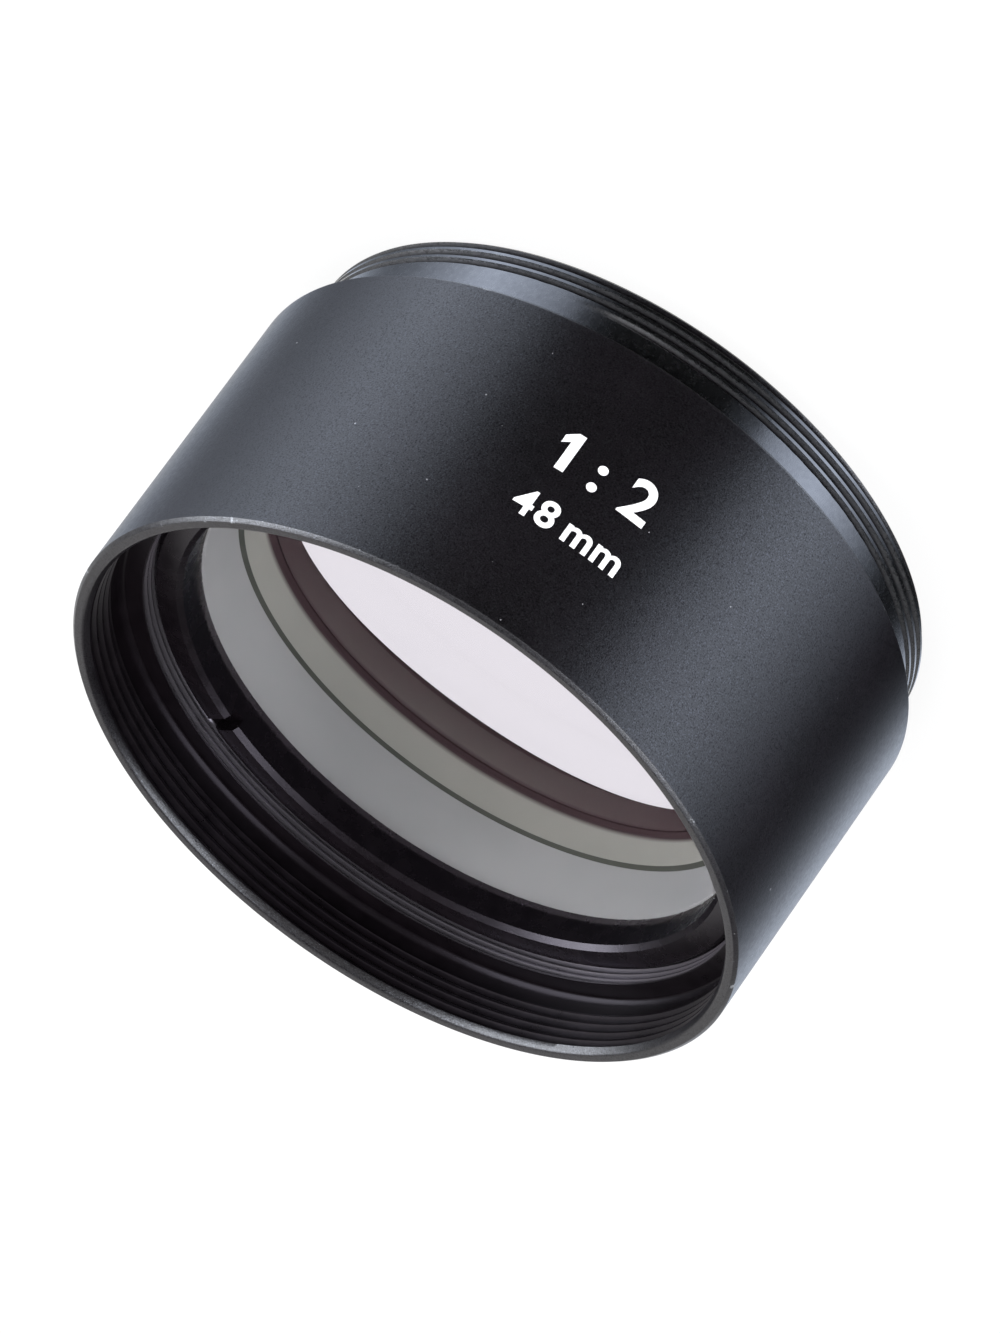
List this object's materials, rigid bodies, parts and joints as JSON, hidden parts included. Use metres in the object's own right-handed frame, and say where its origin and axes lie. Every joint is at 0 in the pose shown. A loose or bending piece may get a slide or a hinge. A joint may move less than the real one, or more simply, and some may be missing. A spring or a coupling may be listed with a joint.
{
  "type": "microscope auxiliary objective lens",
  "caption": "Reducing auxiliary objective for a stereo microscope: black turned barrel, male screw thread at one end, open threaded mouth at the other, cemented glass doublet inside.",
  "frame": {"origin": "centre of the threaded end face, at the bottom of the part", "axes": "+Z along the optical axis, from the threaded end out of the open mouth; X and Y across, the printed marking faces -Y"},
  "size_m": [0.0516, 0.0516, 0.0286],
  "materials": {
    "barrel": "satin black anodised, fine grain, with a white printed marking",
    "ring": "matt black anodised",
    "crown_glass": "polished faces, fine-ground grey edge",
    "flint_glass": "polished faces, fine-ground beige-grey edge"
  },
  "bodies": {
    "root": {"barrel": "barrel", "retaining_ring": "ring", "front_element": "crown_glass", "rear_element": "flint_glass"}
  },
  "joints": []
}
